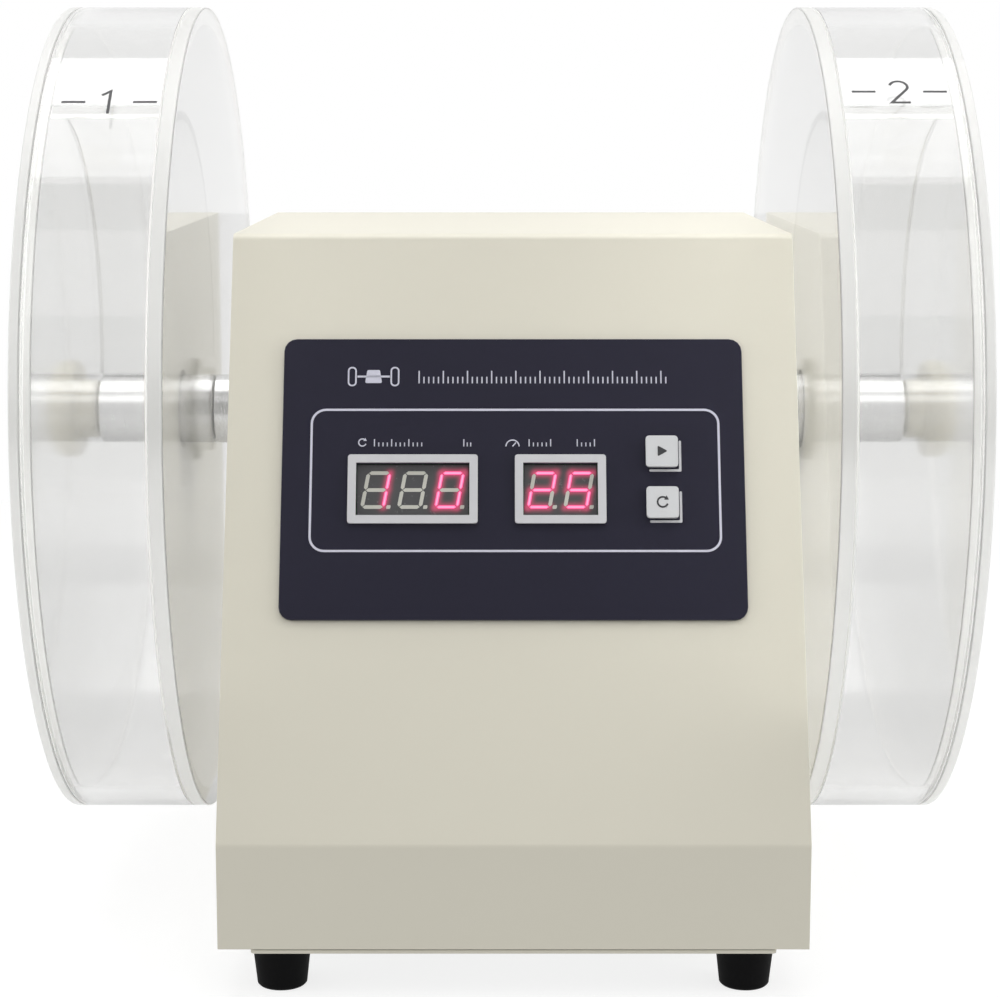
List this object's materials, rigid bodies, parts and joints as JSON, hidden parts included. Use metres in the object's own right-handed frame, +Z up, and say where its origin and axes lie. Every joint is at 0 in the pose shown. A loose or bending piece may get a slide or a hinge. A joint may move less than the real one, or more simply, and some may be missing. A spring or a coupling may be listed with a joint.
{
  "type": "tablet friability tester",
  "caption": "Bench tester that tumbles tablets in clear rotating drums on a motor-driven spindle, with a sloping painted housing, control panel and removable drum covers.",
  "frame": {"origin": "on the floor plane under the middle of the spindle: the middle of the bounding box's bottom face", "axes": "+X along the spindle to the right drum as seen from the front, +Y to the rear panel, +Z up; the sloping control panel faces -Y"},
  "size_m": [0.3556, 0.3, 0.3364],
  "materials": {
    "cream_paint": "semi-gloss, fine orange peel",
    "zinc_steel": "zinc plated",
    "black_rubber": "matte",
    "navy_film": "satin printed film",
    "grey_plastic": "satin",
    "key_plastic": "satin",
    "display_face": "smooth, lit digits",
    "green_board": "coated board",
    "black_plastic": "satin moulded",
    "clear_acrylic": "clear, polished",
    "bright_steel": "polished",
    "bearing_steel": "ground",
    "cast_aluminium": "cast",
    "brass": "machined",
    "ivory_plastic": "moulded",
    "motor_steel": "satin"
  },
  "bodies": {
    "root": {"housing_cover": "cream_paint", "rear_panel": "cream_paint", "base_plate": "zinc_steel", "foot_front_left": "black_rubber", "foot_front_right": "black_rubber", "foot_rear_left": "black_rubber", "foot_rear_right": "black_rubber", "foot_screw_front_left": "zinc_steel", "foot_screw_front_right": "zinc_steel", "foot_screw_rear_left": "zinc_steel", "foot_screw_rear_right": "zinc_steel", "rear_screw_lower_left": "zinc_steel", "rear_screw_lower_right": "zinc_steel", "rear_screw_upper_left": "zinc_steel", "rear_screw_upper_right": "zinc_steel", "power_inlet": "black_plastic", "power_switch_frame": "black_plastic", "fuse_holder": "black_plastic", "control_panel": "navy_film", "counter_bezel": "grey_plastic", "speed_bezel": "grey_plastic", "counter_display": "display_face", "speed_display": "display_face", "display_board": "green_board", "start_switch": "black_plastic", "reset_switch": "black_plastic", "bearing_support_left": "cast_aluminium", "bearing_support_right": "cast_aluminium", "bearing_left": "bearing_steel", "bearing_right": "bearing_steel", "revolution_sensor": "black_plastic", "gearbox": "cast_aluminium", "motor": "motor_steel", "motor_bracket": "zinc_steel", "main_board": "green_board", "transformer": "motor_steel"},
    "spindle": {"spindle": "bright_steel", "drive_gear": "brass", "encoder_disc": "black_plastic"},
    "motor_output": {"output_shaft": "bright_steel", "motor_pinion": "brass"},
    "left_drum": {"left_drum_back_disc": "clear_acrylic", "left_drum_rim": "clear_acrylic", "left_drum_vane": "clear_acrylic", "left_drum_hub": "bright_steel", "left_hub_washer": "black_rubber"},
    "left_cover": {"left_drum_cover": "clear_acrylic"},
    "left_knob": {"left_knob": "ivory_plastic"},
    "right_drum": {"right_drum_back_disc": "clear_acrylic", "right_drum_rim": "clear_acrylic", "right_drum_vane": "clear_acrylic", "right_drum_hub": "bright_steel", "right_hub_washer": "black_rubber"},
    "right_cover": {"right_drum_cover": "clear_acrylic"},
    "right_knob": {"right_knob": "ivory_plastic"},
    "start_key": {"start_key": "key_plastic"},
    "reset_key": {"reset_key": "key_plastic"},
    "power_rocker": {"power_rocker": "black_plastic"}
  },
  "joints": [
    {"name": "spindle_spin", "type": "hinge", "parent": "root", "child": "spindle", "pos_m": [0, 0, 0.1864], "axis": [1, 0, 0], "continuous": true},
    {"name": "motor_spin", "type": "hinge", "parent": "root", "child": "motor_output", "pos_m": [0, 0, 0.1414], "axis": [1, 0, 0], "continuous": true},
    {"name": "left_drum_slide", "type": "slide", "parent": "spindle", "child": "left_drum", "axis": [-1, 0, 0], "range_m": [0, 0.065]},
    {"name": "left_cover_slide", "type": "slide", "parent": "left_drum", "child": "left_cover", "axis": [-1, 0, 0], "range_m": [0, 0.045]},
    {"name": "left_knob_unscrew", "type": "slide", "parent": "left_cover", "child": "left_knob", "axis": [-1, 0, 0], "range_m": [0, 0.016]},
    {"name": "right_drum_slide", "type": "slide", "parent": "spindle", "child": "right_drum", "axis": [1, 0, 0], "range_m": [0, 0.065]},
    {"name": "right_cover_slide", "type": "slide", "parent": "right_drum", "child": "right_cover", "axis": [1, 0, 0], "range_m": [0, 0.045]},
    {"name": "right_knob_unscrew", "type": "slide", "parent": "right_cover", "child": "right_knob", "axis": [1, 0, 0], "range_m": [0, 0.016]},
    {"name": "start_key_press", "type": "slide", "parent": "root", "child": "start_key", "axis": [0, 0.9159, -0.4014], "range_m": [0, 0.0008], "stiffness_N_per_m": 800, "springref_m": -0.001},
    {"name": "reset_key_press", "type": "slide", "parent": "root", "child": "reset_key", "axis": [0, 0.9159, -0.4014], "range_m": [0, 0.0008], "stiffness_N_per_m": 800, "springref_m": -0.001},
    {"name": "power_rocker_tilt", "type": "hinge", "parent": "root", "child": "power_rocker", "pos_m": [-0.0001, 0.1318, 0.062], "axis": [1, 0, 0], "range_deg": [0, 18]}
  ],
  "couplings": [
    {"joint": "motor_spin", "follows": "spindle_spin", "ratio": -2}
  ]
}
